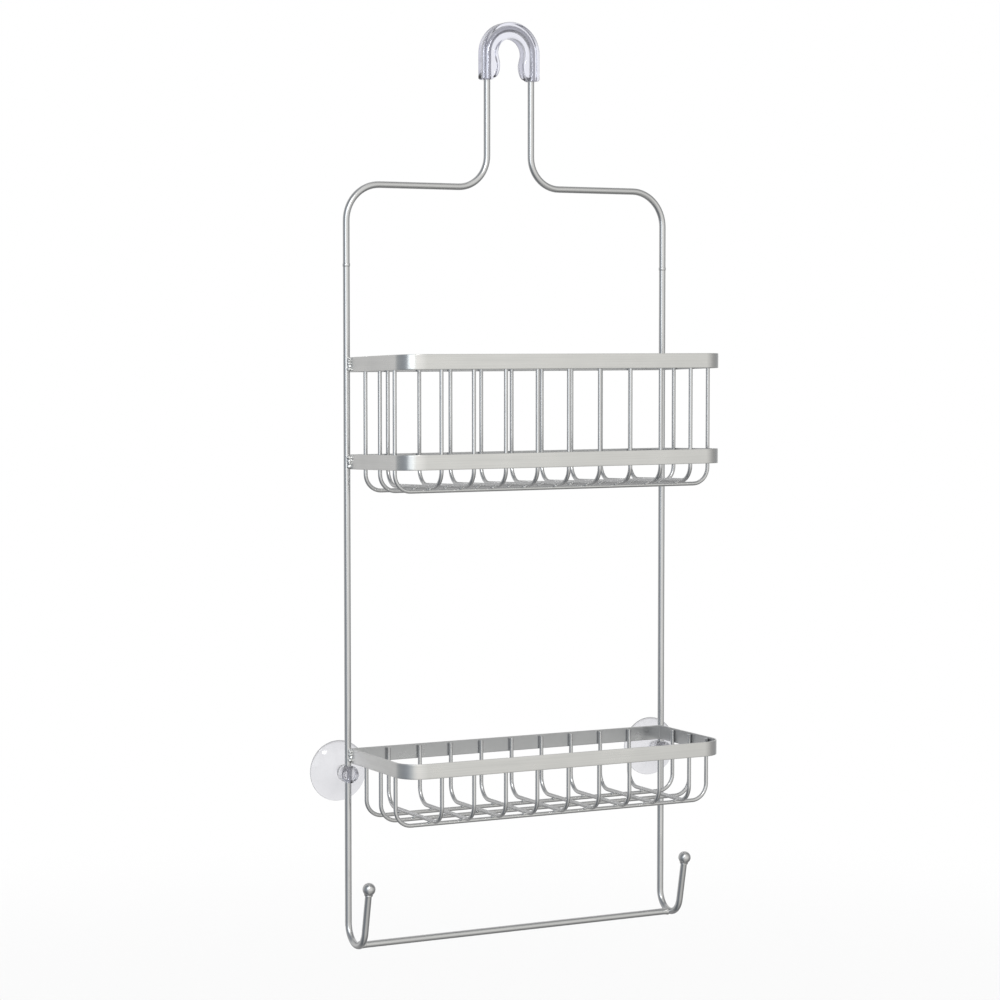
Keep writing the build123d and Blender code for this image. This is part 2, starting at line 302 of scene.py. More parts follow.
def skin(points, strand, closed_along=False):
    """Vertices, faces and strand coordinates of a grid of points (rows along, columns round) whose
    columns join up. Its two open ends are closed with a pole each, unless the rows join up too."""
    rows, columns = points.shape[:2]
    row = np.arange(rows if closed_along else rows - 1)[:, None]
    column = np.arange(columns)[None, :]
    next_row = (row + 1) % rows
    next_column = (column + 1) % columns
    quads = np.stack(
        [
            row * columns + column,
            row * columns + next_column,
            next_row * columns + next_column,
            next_row * columns + column,
        ],
        axis=-1,
    ).reshape(-1, 4)
    vertices = points.reshape(-1, 3)
    marks = strand.reshape(-1, 3)
    triangles = np.zeros((0, 3), int)
    if not closed_along:
        first, last = rows * columns, rows * columns + 1
        vertices = np.concatenate([vertices, points[:1].mean(axis=1), points[-1:].mean(axis=1)])
        marks = np.concatenate([marks, strand[:1].mean(axis=1), strand[-1:].mean(axis=1)])
        ring = np.arange(columns)
        after = (ring + 1) % columns
        base = (rows - 1) * columns
        triangles = np.concatenate(
            [
                np.stack([after, ring, np.full(columns, first)], axis=1),
                np.stack([base + ring, base + after, np.full(columns, last)], axis=1),
            ]
        )
    return vertices, quads, triangles, marks


def volume(vertices, quads, triangles):
    """Signed volume: a sixth of the sum of corner . (corner x corner) over all triangles."""
    halves = np.concatenate([quads[:, [0, 1, 2]], quads[:, [0, 2, 3]], triangles])
    a, b, c = vertices[halves[:, 0]], vertices[halves[:, 1]], vertices[halves[:, 2]]
    return float(np.einsum("ij,ij->i", a, np.cross(b, c)).sum() / 6)


def piece(name, skins, material, smooth_angle=None):
    """One object from several closed skins, each turned to face outwards."""
    vertices, faces, marks, start = [], [], [], 0
    for points, quads, triangles, strand in skins:
        if volume(points, quads, triangles) < 0:
            quads, triangles = quads[:, ::-1], triangles[:, ::-1]
        vertices.append(points)
        marks.append(strand)
        faces += (quads + start).tolist() + (triangles + start).tolist()
        start += len(points)
    mesh = bpy.data.meshes.new(name)
    mesh.from_pydata(np.concatenate(vertices).tolist(), [], faces)
    strand = mesh.attributes.new("strand", "FLOAT_VECTOR", "POINT")
    strand.data.foreach_set("vector", np.concatenate(marks).astype(np.float32).ravel())
    mesh.polygons.foreach_set("use_smooth", np.ones(len(mesh.polygons), bool))
    mesh.update()
    if smooth_angle is not None:
        mesh.set_sharp_from_angle(angle=smooth_angle)
    made = bpy.data.objects.new(name, mesh)
    bpy.context.scene.collection.objects.link(made)
    made.data.materials.append(material)
    return made


def place(made, body, slot, *nodes):
    """Ride the piece on its body, in the place of its CAD nodes. The slot is not used."""
    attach(made, body)
    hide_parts(*nodes)
    return made


def tube(origin, along, across, moves, radius, around, end_round=0.0002):
    """A round wire: ring = C(u) + r(cos v N(u) + sin v B), where C is the bent path in the plane of
    along and across, N its side direction in that plane and B the plane's normal. The first and last
    rings draw in along a quarter circle, so that the cut ends have rounded edges."""
    flat, heading = bent_path(moves)
    centre = np.asarray(origin) + flat[:, :1] * along + flat[:, 1:] * across
    tangent = np.cos(heading)[:, None] * along + np.sin(heading)[:, None] * across
    side = -np.sin(heading)[:, None] * along + np.cos(heading)[:, None] * across
    size = np.full(len(centre), radius)
    travel = np.concatenate([[0.0], np.cumsum(np.linalg.norm(np.diff(centre, axis=0), axis=1))])
    theta = np.linspace(QUARTER, 0.0, 5)[:, None]
    inset = end_round * (1 - np.sin(theta))
    narrow = radius - end_round * (1 - np.cos(theta[:, 0]))
    start = centre[0] + inset * tangent[0]
    end = centre[-1] - inset[::-1] * tangent[-1]
    centre = np.concatenate([start, centre[1:-1], end])
    side = np.concatenate([np.repeat(side[:1], 5, 0), side[1:-1], np.repeat(side[-1:], 5, 0)])
    size = np.concatenate([narrow, size[1:-1], narrow[::-1]])
    travel = np.concatenate([inset[:, 0], travel[1:-1], travel[-1] - inset[::-1, 0]])
    v = np.linspace(0.0, 2 * math.pi, around, endpoint=False)
    normal = np.cross(along, across)
    spread = np.cos(v)[None, :, None] * side[:, None, :] + np.sin(v)[None, :, None] * normal
    points = centre[:, None, :] + size[:, None, None] * spread
    return skin(points, strand_of(travel, size, v))


def strand_of(travel, size, v):
    """Strand coordinates: (length along, r cos v, r sin v), which have no seam."""
    rows, columns = len(travel), len(v)
    out = np.empty((rows, columns, 3))
    out[..., 0] = travel[:, None]
    out[..., 1] = size[:, None] * np.cos(v)
    out[..., 2] = size[:, None] * np.sin(v)
    return out


def spokes(axis, around):
    """The unit axis, the angles v, and the directions cos v P + sin v Q square to the axis."""
    axis = np.asarray(axis) / np.linalg.norm(axis)
    helper = X if abs(axis[0]) < 0.9 else Y
    p = np.cross(axis, helper)
    p /= np.linalg.norm(p)
    q = np.cross(axis, p)
    v = np.linspace(0.0, 2 * math.pi, around, endpoint=False)
    return axis, v, np.cos(v)[:, None] * p + np.sin(v)[:, None] * q


def turned(origin, axis, reach, radius, around, ripple=None):
    """A surface of revolution about axis through origin: point = O + s axis + r(s)(cos v P + sin v Q).
    The profile is given as distances along the axis and radii. Ripple multiplies r."""
    axis, v, spread = spokes(axis, around)
    grown = np.asarray(radius)[:, None] * np.ones(around)
    if ripple is not None:
        grown = grown * ripple(np.asarray(reach)[:, None], v[None, :])
    points = np.asarray(origin) + np.asarray(reach)[:, None, None] * axis + grown[..., None] * spread
    return skin(points, strand_of(np.asarray(reach), np.asarray(radius), v))


def ring_bead(origin, axis, half_length, inner, stand, around, ripple):
    """A bead round a wire: a closed profile, half an ellipse outside and a flat wall inside, turned
    about the wire's axis, so its rows join up. The wall lies sunk in the wire."""
    axis, v, spread = spokes(axis, around)
    sunk = 0.2 * MM
    t = np.linspace(0.0, math.pi, 11)
    s = np.concatenate([-half_length * np.cos(t), [half_length * 0.5, -half_length * 0.5]])
    r = np.concatenate([inner + stand * np.sin(t), [inner - sunk, inner - sunk]])
    lift = np.concatenate([np.sin(t), [0.0, 0.0]])
    grown = r[:, None] + stand * lift[:, None] * ripple(s[:, None], v[None, :])
    points = np.asarray(origin) + s[:, None, None] * axis + grown[..., None] * spread
    return skin(points, strand_of(s, r, v), closed_along=True)


def whole_section(a, b):
    """A closed section from its first quarter, along the last axis: mirrored, then turned half way
    round. The quarter runs from b = 0 to a = 0."""
    a = np.concatenate([a, -a[..., -2::-1]], axis=-1)
    b = np.concatenate([b, b[..., -2::-1]], axis=-1)
    a = np.concatenate([a, -a[..., 1:-1]], axis=-1)
    b = np.concatenate([b, -b[..., 1:-1]], axis=-1)
    return a, b


def lump(centre, radii, around, rows, seed, rough=0.12):
    """An uneven round lump: an ellipsoid whose radius swells and sinks with four waves of random
    place, r = 1 + rough . sum of sin(k . direction + phase)."""
    random = np.random.default_rng(seed)
    theta = np.linspace(0.0, math.pi, rows + 2)[1:-1][:, None]
    v = np.linspace(0.0, 2 * math.pi, around, endpoint=False)[None, :]
    direction = np.stack(
        [np.sin(theta) * np.cos(v), np.sin(theta) * np.sin(v), np.cos(theta) * np.ones_like(v)],
        axis=-1,
    )
    swell = np.ones(direction.shape[:2])
    for wave in random.normal(0.0, 3.2, (4, 3)):
        swell += rough * np.sin(direction @ wave + random.uniform(0, 2 * math.pi)) / 2
    points = np.asarray(centre) + direction * np.asarray(radii) * swell[..., None]
    return skin(points, direction * np.asarray(radii))


# ---------------------------------------------------------------- node helpers
def add_node(tree, kind, **settings):
    """A node with its settings."""
    made = tree.nodes.new(kind)
    for key, value in settings.items():
        setattr(made, key, value)
    return made


def shader_group(name, inputs, outputs):
    """An empty shader node group with those named sockets."""
    group = bpy.data.node_groups.new(name, "ShaderNodeTree")
    for label, kind, default in inputs:
        socket = group.interface.new_socket(name=label, in_out="INPUT", socket_type=kind)
        if default is not None:
            socket.default_value = default
    for label, kind in outputs:
        group.interface.new_socket(name=label, in_out="OUTPUT", socket_type=kind)
    return group, group.nodes.new("NodeGroupInput"), group.nodes.new("NodeGroupOutput")


def brushed_group():
    """Brush lines along a strand: noise stretched along the length. Gives a mask and a height."""
    group, given, result = shader_group(
        "Brush lines",
        [
            ("Strand", "NodeSocketVector", None),
            ("Along", "NodeSocketFloat", 60.0),
            ("Across", "NodeSocketFloat", 9000.0),
        ],
        [("Mask", "NodeSocketFloat"), ("Height", "NodeSocketFloat")],
    )
    stretch = add_node(group, "ShaderNodeCombineXYZ")
    scaled = add_node(group, "ShaderNodeVectorMath", operation="MULTIPLY")
    fine = add_node(group, "ShaderNodeTexNoise")
    fine.inputs["Scale"].default_value = 1.0
    fine.inputs["Detail"].default_value = 3.0
    broad = add_node(group, "ShaderNodeMapRange")
    broad.inputs["From Min"].default_value = 0.34
    broad.inputs["From Max"].default_value = 0.66
    link = group.links.new
    link(given.outputs["Along"], stretch.inputs["X"])
    link(given.outputs["Across"], stretch.inputs["Y"])
    link(given.outputs["Across"], stretch.inputs["Z"])
    link(given.outputs["Strand"], scaled.inputs[0])
    link(stretch.outputs[0], scaled.inputs[1])
    link(scaled.outputs[0], fine.inputs["Vector"])
    link(fine.outputs["Fac"], broad.inputs["Value"])
    link(broad.outputs["Result"], result.inputs["Mask"])
    link(fine.outputs["Fac"], result.inputs["Height"])
    return group


def handling_group():
    """Slow changes of gloss from handling and water: two sizes of noise in object space."""
    group, given, result = shader_group(
        "Handling marks",
        [
            ("Place", "NodeSocketVector", None),
            ("Low", "NodeSocketFloat", 0.2),
            ("High", "NodeSocketFloat", 0.4),
            ("Patch Scale", "NodeSocketFloat", 28.0),
        ],
        [("Value", "NodeSocketFloat"), ("Mask", "NodeSocketFloat")],
    )
    patches = add_node(group, "ShaderNodeTexNoise")
    patches.inputs["Detail"].default_value = 4.0
    patches.inputs["Roughness"].default_value = 0.6
    spread = add_node(group, "ShaderNodeMapRange")
    spread.inputs["From Min"].default_value = 0.3
    spread.inputs["From Max"].default_value = 0.7
    link = group.links.new
    link(given.outputs["Place"], patches.inputs["Vector"])
    link(given.outputs["Patch Scale"], patches.inputs["Scale"])
    link(patches.outputs["Fac"], spread.inputs["Value"])
    link(given.outputs["Low"], spread.inputs["To Min"])
    link(given.outputs["High"], spread.inputs["To Max"])
    link(spread.outputs["Result"], result.inputs["Value"])
    link(patches.outputs["Fac"], result.inputs["Mask"])
    return group


def build_once(name, build):
    """The node group of that name, built the first time it is asked for."""
    return bpy.data.node_groups.get(name) or build()


def place_group(tree, group, **values):
    """A placed node group with some of its inputs set; _ in a key stands for a space."""
    made = tree.nodes.new("ShaderNodeGroup")
    made.node_tree = group
    for key, value in values.items():
        made.inputs[key.replace("_", " ")].default_value = value
    return made


def mixed(tree, mask, first, second):
    """A colour mixed from first to second by a mask."""
    mix = add_node(tree, "ShaderNodeMix", data_type="RGBA")
    mix.inputs[6].default_value = (*first, 1.0)
    mix.inputs[7].default_value = (*second, 1.0)
    tree.links.new(mask, mix.inputs[0])
    return mix.outputs[2]


def new_material(name):
    """A node material and its Principled shader."""
    made = bpy.data.materials.new(name)
    made.use_nodes = True
    return made, made.node_tree, made.node_tree.nodes["Principled BSDF"]


def add_marks(tree, shader, low_gloss, high_gloss, scale):
    """Handling marks on the shader's roughness. Returns the placed group."""
    where = add_node(tree, "ShaderNodeTexCoord")
    marks = place_group(
        tree,
        build_once("Handling marks", handling_group),
        Low=low_gloss,
        High=high_gloss,
        Patch_Scale=scale,
    )
    tree.links.new(where.outputs["Object"], marks.inputs["Place"])
    tree.links.new(marks.outputs["Value"], shader.inputs["Roughness"])
    return marks


def add_bump(tree, shader, height, strength, distance):
    """A bump of that height on the shader's normal."""
    bump = add_node(tree, "ShaderNodeBump")
    bump.inputs["Strength"].default_value = strength
    bump.inputs["Distance"].default_value = distance
    tree.links.new(height, bump.inputs["Height"])
    tree.links.new(bump.outputs["Normal"], shader.inputs["Normal"])


def brushed_metal(name, light, dark, roughness, along, across, grain, inside=None):
    """Satin metal: brush lines along the strand change the colour and the height, and handling marks
    change the gloss. Inside is painted shade: a darker colour laid on a band's inner face, which is
    where the second strand coordinate is negative, in place of the shade that falls there."""
    found = bpy.data.materials.get(name)
    if found:
        return found
    made, tree, shader = new_material(name)
    link = tree.links.new
    strand = add_node(tree, "ShaderNodeAttribute", attribute_name="strand")
    lines = place_group(tree, build_once("Brush lines", brushed_group), Along=along, Across=across)
    add_marks(tree, shader, roughness - 0.05, roughness + 0.06, 34.0)
    add_bump(tree, shader, lines.outputs["Height"], grain, 0.03 * MM)
    link(strand.outputs["Vector"], lines.inputs["Strand"])
    polished = mixed(tree, lines.outputs["Mask"], dark, light)
    if inside is None:
        link(polished, shader.inputs["Base Color"])
    else:
        # Painted shade: face picks out the inner faces, and faces lays the darker inside colour on
        # them.
        parts = add_node(tree, "ShaderNodeSeparateXYZ")
        face = add_node(tree, "ShaderNodeMapRange")
        face.inputs["From Min"].default_value = -0.5 * MM
        face.inputs["From Max"].default_value = 0.3 * MM
        faces = add_node(tree, "ShaderNodeMix", data_type="RGBA")
        faces.inputs[6].default_value = (*inside, 1.0)
        link(strand.outputs["Vector"], parts.inputs[0])
        link(parts.outputs["Y"], face.inputs["Value"])
        link(face.outputs["Result"], faces.inputs[0])
        link(polished, faces.inputs[7])
        link(faces.outputs[2], shader.inputs["Base Color"])
    shader.inputs["Metallic"].default_value = 1.0
    return made


def satin_wire(finish):
    """Frame and basket wire."""
    return brushed_metal(
        "Satin wire",
        finish.wire_light,
        finish.wire_dark,
        finish.wire_roughness,
        along=45.0,
        across=2000.0,
        grain=0.05,
    )


def satin_band(finish):
    """Flat bands, with painted shade on their inner faces."""
    return brushed_metal(
        "Satin band",
        finish.band_light,
        finish.band_dark,
        finish.band_roughness,
        along=16.0,
        across=2600.0,
        grain=0.1,
        inside=finish.band_inside_shade,
    )


def weld_metal(finish):
    """Bright, uneven weld metal, with painted shade in the hollows of its bump."""
    found = bpy.data.materials.get("Weld metal")
    if found:
        return found
    made, tree, shader = new_material("Weld metal")
    marks = add_marks(tree, shader, 0.16, 0.42, 900.0)
    add_bump(tree, shader, marks.outputs["Mask"], 0.6, 0.3 * MM)
    # Painted shade: where the bump is low, the colour turns to the dark weld shade.
    hollow_shade_mask = add_node(tree, "ShaderNodeMapRange")
    hollow_shade_mask.inputs["From Min"].default_value = 0.34
    hollow_shade_mask.inputs["From Max"].default_value = 0.48
    tree.links.new(marks.outputs["Mask"], hollow_shade_mask.inputs["Value"])
    metal = mixed(tree, hollow_shade_mask.outputs["Result"], finish.weld_hollow_shade, finish.weld_light)
    tree.links.new(metal, shader.inputs["Base Color"])
    shader.inputs["Metallic"].default_value = 1.0
    return made


def clear_plastic(name, tint, haze, low_gloss, high_gloss, ior, scale):
    """Clear soft plastic: a tint that clouds over in patches, with slightly uneven gloss."""
    found = bpy.data.materials.get(name)
    if found:
        return found
    made, tree, shader = new_material(name)
    marks = add_marks(tree, shader, low_gloss, high_gloss, scale)
    add_bump(tree, shader, marks.outputs["Mask"], 0.06, 0.3 * MM)
    tree.links.new(mixed(tree, marks.outputs["Mask"], tint, haze), shader.inputs["Base Color"])
    shader.inputs["Metallic"].default_value = 0.0
    shader.inputs["Transmission Weight"].default_value = 1.0
    shader.inputs["IOR"].default_value = ior
    return made


# ---------------------------------------------------------------- frame pieces
class CADDY_OT_hanger(bpy.types.Operator):
    """Bend the hanger wire: up from the left leg, over the shower arm and down to the right leg"""

    bl_idname = "caddy.hanger"
    bl_label = "Hanger Wire"

    def execute(self, context):
        sizes = context.scene.caddy_frame
        r = sizes.wire_radius
        foot = low("hanger_wire")
        leg_x = high("hanger_wire")[0] - r
        neck_x = high("hanger_wire")[2] - r
        rise = -sizes.shoulder_drop - foot[2] - sizes.shoulder_bend
        level = leg_x - neck_x - sizes.shoulder_bend - sizes.neck_bend
        neck = sizes.shoulder_drop - sizes.neck_bend
        moves = [
            (rise, sizes.shoulder_bend, -QUARTER),
            (level, sizes.neck_bend, QUARTER),
            (neck, neck_x, -math.pi),
            (neck, sizes.neck_bend, QUARTER),
            (level, sizes.shoulder_bend, -QUARTER),
            (rise, 0.0, 0.0),
        ]
        wire = tube((-leg_x, 0.0, foot[2]), Z, -X, moves, r, sizes.around)
        made = piece("hanger_wire_satin", [wire], satin_wire(context.scene.caddy_finish))
        place(made, "frame", "frame_wire", "hanger_wire")
        return {"FINISHED"}


def leg_top(side, sizes):
    """The top of a leg's centreline, and the height where its hook's bend starts."""
    node = f"{side}_leg_wire"
    r = sizes.wire_radius
    top = high(node)
    return np.array([top[0] - r, 0.0, top[2]]), low(node)[2] + r + sizes.hook_radius


class CADDY_OT_legs(bpy.types.Operator):
    """Bend both legs: straight down, forward round the hook and up to the ball"""

    bl_idname = "caddy.legs"
    bl_label = "Leg Wires"

    def execute(self, context):
        sizes = context.scene.caddy_frame
        for side, _ in SIDES:
            top, bend_z = leg_top(side, sizes)
            moves = [
                (top[2] - bend_z, sizes.hook_radius, -(math.pi - sizes.hook_lean)),
                (sizes.hook_tip - BALL_SEAT, 0.0, 0.0),
            ]
            wire = tube(top, -Z, Y, moves, sizes.wire_radius, sizes.around)
            made = piece(f"{side}_leg_satin", [wire], satin_wire(context.scene.caddy_finish))
            place(made, "frame", "frame_wire", f"{side}_leg_wire")
        return {"FINISHED"}


class CADDY_OT_balls(bpy.types.Operator):
    """Turn the two balls with their collars, bored to take the ends of the hooks"""

    bl_idname = "caddy.balls"
    bl_label = "Hook Balls"

    def execute(self, context):
        sizes = context.scene.caddy_frame
        lean = sizes.hook_lean
        axis = np.array([0.0, -math.sin(lean), math.cos(lean)])
        reach, radius = self.profile(sizes)
        for side, _ in SIDES:
            top, bend_z = leg_top(side, sizes)
            bend_y = -sizes.hook_radius * (1 + math.cos(lean))
            foot = np.array([top[0], bend_y, bend_z - sizes.hook_radius * math.sin(lean)])
            ball = turned(foot + sizes.hook_tip * axis, axis, reach, radius, 40)
            made = piece(f"{side}_ball_satin", [ball], satin_wire(context.scene.caddy_finish))
            place(made, "frame", "frame_wire", f"{side}_hook_ball")
        return {"FINISHED"}

    def profile(self, sizes):
        """Distances along the hook's axis from the ball's centre, and radii: out of the bore, round
        the collar's lower edge, up the collar and round the ball to its top."""
        ball, neck = sizes.ball_radius, sizes.ball_neck_radius
        edge = 0.35 * MM
        collar = 1.5 * MM
        bore = sizes.wire_radius + BALL_FIT
        bore_end = -BALL_SEAT + BALL_FIT
        collar_top = -math.sqrt(ball**2 - (neck - edge) ** 2)
        collar_low = -math.sqrt(ball**2 - neck**2) - collar
        turn = np.linspace(0.0, QUARTER, 5)
        start = math.asin((neck - edge) / ball)
        sweep = np.linspace(math.pi - start, 0.06, 30)
        reach = [
            [bore_end, bore_end - 0.1 * MM, collar_low + 0.3 * MM, collar_low],
            collar_low + edge * (1 - np.cos(turn)),
            collar_top - edge * (1 - np.sin(turn[::-1])),
            ball * np.cos(sweep),
        ]
        radius = [
            [bore * 0.5, bore, bore, bore + 0.05 * MM],
            neck - edge * (1 - np.sin(turn)),
            neck - edge * (1 - np.sin(turn[::-1])) * 0.4,
            ball * np.sin(sweep),
        ]
        return np.concatenate(reach), np.concatenate(radius)


class CADDY_OT_towel_bar(bpy.types.Operator):
    """Make the towel bar between the bottoms of the two hooks"""

    bl_idname = "caddy.towel_bar"
    bl_label = "Towel Bar"

    def execute(self, context):
        sizes = context.scene.caddy_frame
        r = sizes.wire_radius
        middle = (low("towel_bar") + high("towel_bar")) / 2
        reach = high("right_leg_wire")[0] - 1.5 * r
        start = (-reach, middle[1], middle[2])
        bar = tube(start, X, Y, [(2 * reach, 0.0, 0.0)], r, sizes.around)
        made = piece("towel_bar_satin", [bar], satin_wire(context.scene.caddy_finish))
        place(made, "frame", "frame_wire", "towel_bar")
        return {"FINISHED"}


class CADDY_OT_frame_welds(bpy.types.Operator):
    """Lay the bead round each butt weld of the legs and the flare at each end of the towel bar"""

    bl_idname = "caddy.frame_welds"
    bl_label = "Frame Welds"

    def execute(self, context):
        sizes = context.scene.caddy_frame
        finish = context.scene.caddy_finish
        r = sizes.wire_radius
        node_low, node_high = low("leg_butt_welds"), high("leg_butt_welds")
        joint_z = (node_low[2] + node_high[2]) / 2
        half = (node_high[2] - node_low[2]) / 2
        leg_x = high("right_leg_wire")[0] - r
        stand = sizes.weld_height * 0.8

        def bead_ripple(s, v):
            return 0.2 * np.sin(9 * v + 2000 * s)

        beads = [
            ring_bead((sign * leg_x, 0.0, joint_z), Z, half, r, stand, 40, bead_ripple)
            for _, sign in SIDES
        ]
        made = piece("leg_butt_welds_bright", beads, satin_wire(finish))
        place(made, "frame", "weld_metal", "leg_butt_welds")

        middle = (low("towel_bar") + high("towel_bar")) / 2
        flare_height, flare_length = 0.45 * MM, 4.4 * MM
        t = np.linspace(0.0, 1.0, 12)
        flare = r * 1.01 + flare_height * (1 - np.sin(t * QUARTER)) ** 1.3

        def flare_ripple(s, v):
            return 1 + 0.012 * np.sin(5 * v + 900 * s)

        flares = []
        for _, sign in SIDES:
            start = np.array([sign * (leg_x - 0.85 * r), middle[1], middle[2]])
            flares.append(turned(start, -sign * X, flare_length * t, flare, 36, flare_ripple))
        made = piece("towel_bar_welds_bright", flares, satin_wire(finish))
        place(made, "frame", "weld_metal", "towel_bar_welds")
        return {"FINISHED"}


# ---------------------------------------------------------------- baskets
def band_rise(sizes, node):
    """(height of the top edge at the back, how much higher the front is)."""
    top = low(node)[2] + sizes.band_height
    return top, high(node)[2] - top


class CADDY_OT_bands(bpy.types.Operator):
    """Carry the flat section round the rounded outline of each basket band"""

    bl_idname = "caddy.bands"
    bl_label = "Basket Bands"

    def execute(self, context):
        sizes = context.scene.caddy_basket
        band = satin_band(context.scene.caddy_finish)
        for node in BANDS:
            made = piece(f"{node}_satin", [self.ring(sizes, node)], band)
            place(made, "frame", "satin_band", node)
        return {"FINISHED"}

    def ring(self, sizes, node):
        """Point = C(u) + a(v) N(u) + b(v) Z, raised in proportion to how far forward it is. C is the
        rounded rectangle, N its outward direction, and (a, b) the flat section with rounded edges."""
        half_t = sizes.band_thickness / 2
        half_h = sizes.band_height / 2
        edge = sizes.band_edge
        node_low, node_high = low(node), high(node)
        top, rise = band_rise(sizes, node)
        width = node_high[0] - node_low[0]
        depth = node_high[1] - node_low[1]
        front, back = sizes.front_corner - half_t, sizes.back_corner - half_t
        side_run = depth - sizes.front_corner - sizes.back_corner
        moves = [
            (width / 2 - sizes.back_corner, back, QUARTER),
            (side_run, front, QUARTER),
            (width - 2 * sizes.front_corner, front, QUARTER),
            (side_run, back, QUARTER),
            (width / 2 - sizes.back_corner, 0.0, 0.0),
        ]
        flat, heading = bent_path(moves, arc_step=math.radians(4.5))
        flat, heading = flat[:-1], heading[:-1]
        level = np.zeros(len(flat))
        centre = np.stack([-flat[:, 0], node_high[1] - half_t - flat[:, 1], level], axis=1)
        outward = np.stack([-np.sin(heading), np.cos(heading), level], axis=1)
        turn = np.linspace(0.0, QUARTER, 5)
        corner_a = half_t - edge + edge * np.cos(turn)
        corner_b = half_h - edge + edge * np.sin(turn)
        side_b = np.array([0.0, half_h - 3 * edge])
        a = np.concatenate([np.full(2, half_t), corner_a, [0.0]])
        b = np.concatenate([side_b, corner_b, [half_h]])
        a, b = whole_section(a, b)
        points = centre[:, None, :] + a[None, :, None] * outward[:, None, :] + b[None, :, None] * Z
        forward = (node_high[1] - points[..., 1]) / depth
        points[..., 2] += top - half_h + rise * forward
        travel = np.concatenate([[0.0], np.cumsum(np.linalg.norm(np.diff(flat, axis=0), axis=1))])
        strand = np.empty(points.shape)
        strand[..., 0] = travel[:, None]
        strand[..., 1] = a[None, :]
        strand[..., 2] = b[None, :]
        return skin(points, strand, closed_along=True)


class CADDY_OT_cross_wires(bpy.types.Operator):
    """Bend the front-to-back wires of both baskets"""

    bl_idname = "caddy.cross_wires"
    bl_label = "Cross Wires"

    def execute(self, context):
        sizes = context.scene.caddy_basket
        r, bend = sizes.wire_radius, sizes.wire_bend
        for basket, band in BASKETS:
            top, rise = band_rise(sizes, band)
            depth = sizes.upper_depth if basket == "upper_basket" else sizes.lower_depth
            for number in CROSS_WIRES:
                node = f"{basket}_cross_wire_{number}"
                node_low, node_high = low(node), high(node)
                run = node_high[1] - node_low[1] - 2 * r
                slope = math.atan2(rise, run)
                first, second = QUARTER + slope, QUARTER - slope
                cut_first = bend * math.tan(first / 2)
                cut_second = bend * math.tan(second / 2)
                tall = depth - sizes.tip_gap
                moves = [
                    (tall - cut_first, bend, -first),
                    (run / math.cos(slope) - cut_first - cut_second, bend, -second),
                    (tall - cut_second, 0.0, 0.0),
                ]
                x = (node_low[0] + node_high[0]) / 2
                start = (x, node_high[1] - r, top - sizes.tip_gap)
                wire = tube(start, -Z, Y, moves, r, sizes.around)
                made = piece(f"{node}_satin", [wire], satin_wire(context.scene.caddy_finish))
                place(made, "frame", "basket_wire", node)
        return {"FINISHED"}


class CADDY_OT_long_wires(bpy.types.Operator):
    """Bend the side-to-side wires of both baskets"""

    bl_idname = "caddy.long_wires"
    bl_label = "Long Wires"

    def execute(self, context):
        sizes = context.scene.caddy_basket
        r, bend = sizes.wire_radius, sizes.wire_bend
        for basket, _ in BASKETS:
            for number in LONG_WIRES:
                node = f"{basket}_long_wire_{number}"
                node_low, node_high = low(node), high(node)
                tall = node_high[2] - node_low[2] - r
                run = node_high[0] - node_low[0] - 2 * r
                moves = [
                    (tall - bend, bend, QUARTER),
                    (run - 2 * bend, bend, QUARTER),
                    (tall - bend, 0.0, 0.0),
                ]
                y = (node_low[1] + node_high[1]) / 2
                wire = tube((node_low[0] + r, y, node_high[2]), -Z, X, moves, r, sizes.around)
                made = piece(f"{node}_satin", [wire], satin_wire(context.scene.caddy_finish))
                place(made, "frame", "basket_wire", node)
        return {"FINISHED"}


class CADDY_OT_grid_welds(bpy.types.Operator):
    """Set a small flattened weld at each crossing of the baskets' wires"""

    bl_idname = "caddy.grid_welds"
    bl_label = "Grid Welds"

    def execute(self, context):
        sizes = context.scene.caddy_basket
        r = sizes.wire_radius
        for basket, _ in BASKETS:
            spots = []
            for row in LONG_WIRES:
                long = f"{basket}_long_wire_{row}"
                y = (low(long)[1] + high(long)[1]) / 2
                z = low(long)[2] + 2 * r
                for column in CROSS_WIRES:
                    cross = f"{basket}_cross_wire_{column}"
                    x = (low(cross)[0] + high(cross)[0]) / 2
                    spots.append(lump((x, y, z), WELD_SPOT, 14, 7, 100 * row + column, 0.08))
            made = piece(f"{basket}_grid_welds_bright", spots, weld_metal(context.scene.caddy_finish))
            place(made, "frame", "weld_metal", f"{basket}_grid_welds")
        return {"FINISHED"}


